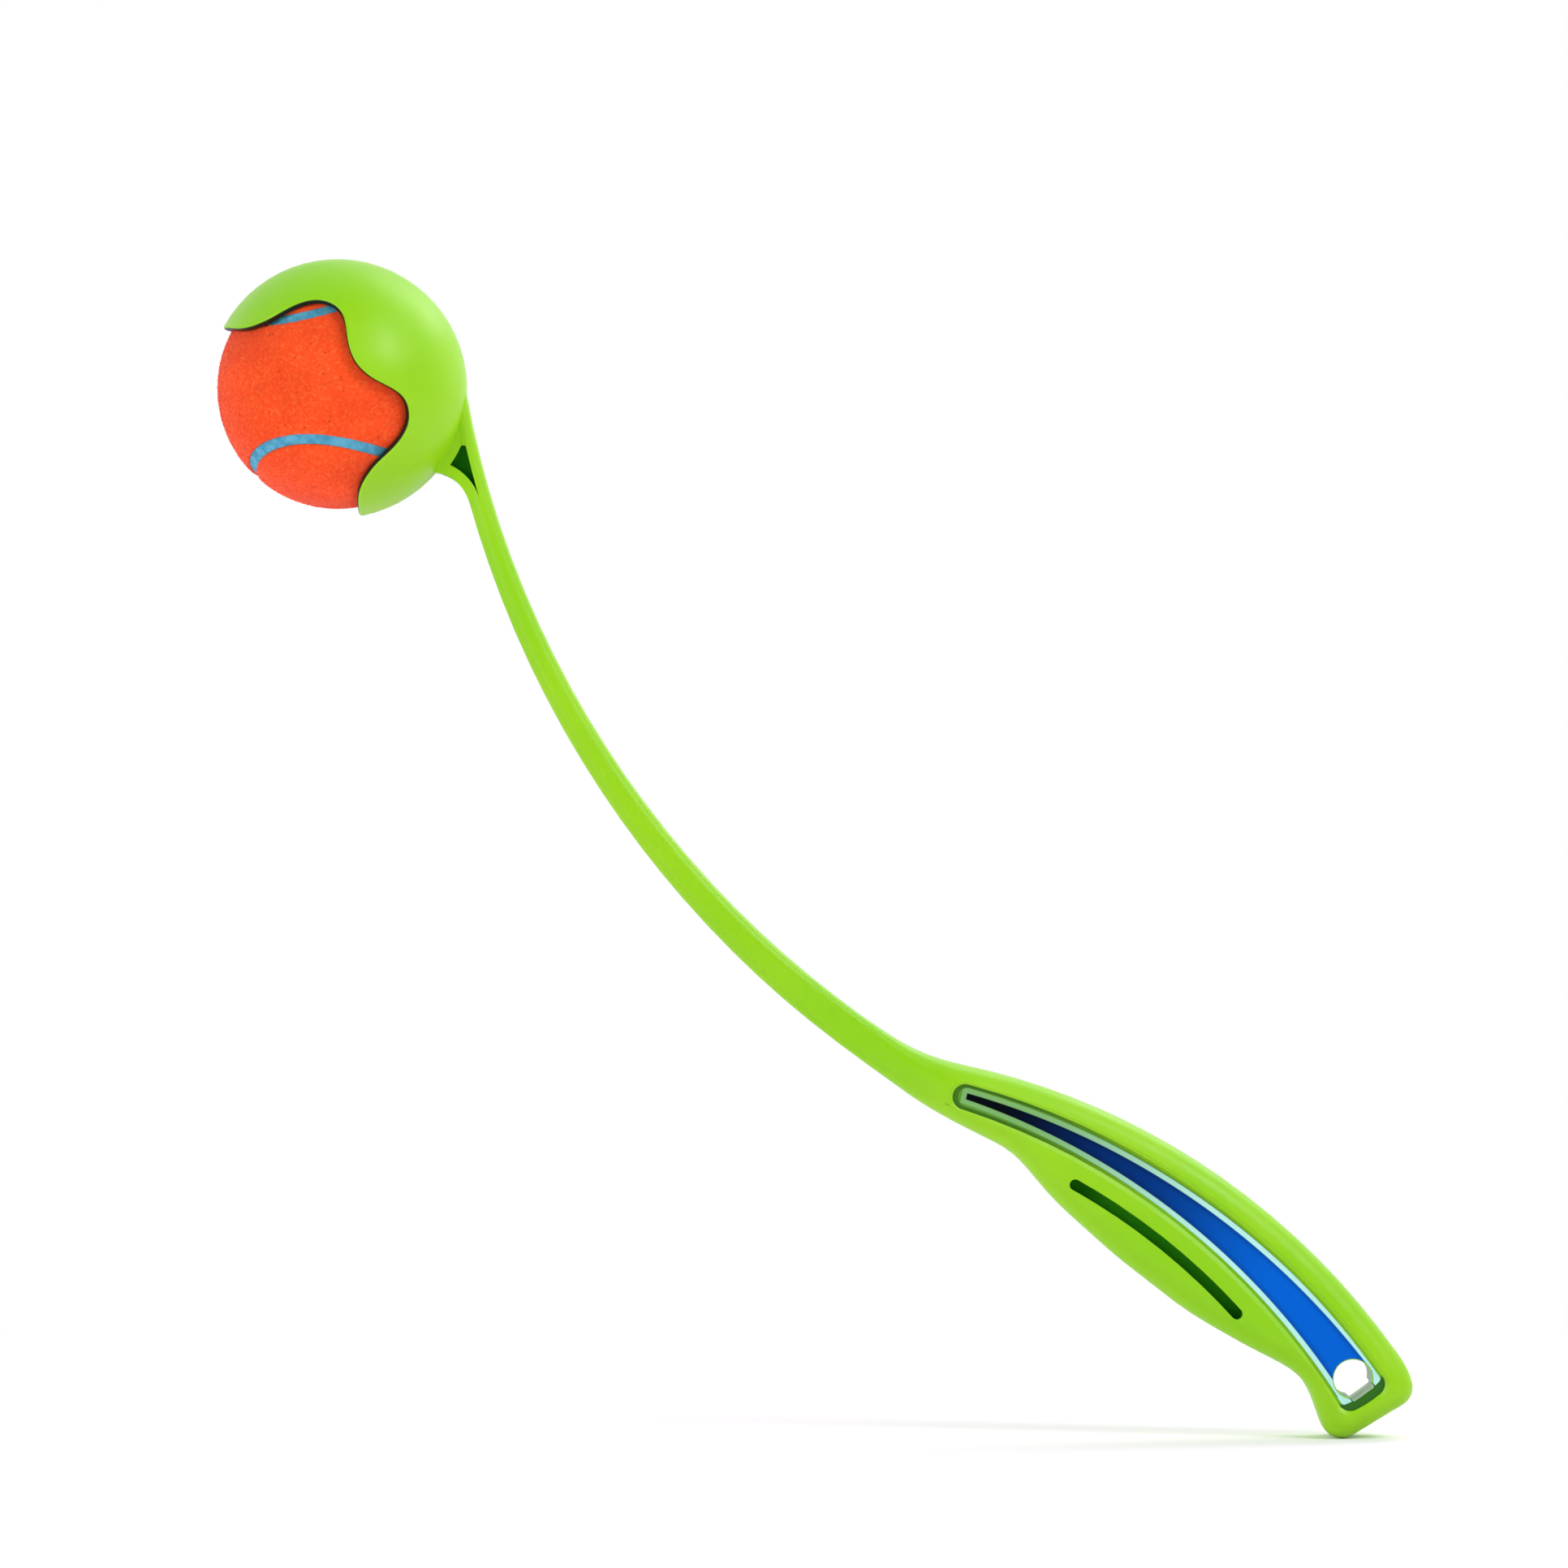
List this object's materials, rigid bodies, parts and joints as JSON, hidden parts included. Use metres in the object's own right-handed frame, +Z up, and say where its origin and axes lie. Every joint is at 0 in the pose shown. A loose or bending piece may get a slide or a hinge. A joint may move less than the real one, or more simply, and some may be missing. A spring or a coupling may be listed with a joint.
{
  "type": "dog ball launcher stick",
  "caption": "Curved moulded throwing stick with a snap-in fingered cup at one end, holding a felt ball, and a gripped handle with a hang hole at the other.",
  "frame": {"origin": "centre of the hang hole, in the middle of the handle's width", "axes": "the side of the launcher lies in the XZ plane with +Z up, as in the picture; the handle's end is at +X, the cup is at -X and up, and +Y runs through the width along the hang hole"},
  "size_m": [0.3289, 0.0688, 0.3245],
  "materials": {
    "wand_plastic": "lime green injection-moulded plastic with a fine satin texture",
    "label_film": "printed vinyl film, blue with a pale edge",
    "ball_rubber": "moulded natural rubber",
    "ball_felt": "napped orange felt",
    "seam_rubber": "matt blue vulcanised seam strip"
  },
  "bodies": {
    "launcher": {"launcher_wand": "wand_plastic", "label_front": "label_film", "label_back": "label_film"},
    "ball": {"ball_core_half_a": "ball_rubber", "ball_core_half_b": "ball_rubber", "felt_panel_a": "ball_felt", "felt_panel_b": "ball_felt", "felt_seam": "seam_rubber"}
  },
  "joints": [
    {"name": "ball_release", "type": "slide", "parent": "launcher", "child": "ball", "axis": [-0.809, 0, -0.5878], "range_m": [0, 0.08], "deforming": ["felt_panel_a", "felt_panel_b", "felt_seam"]}
  ]
}
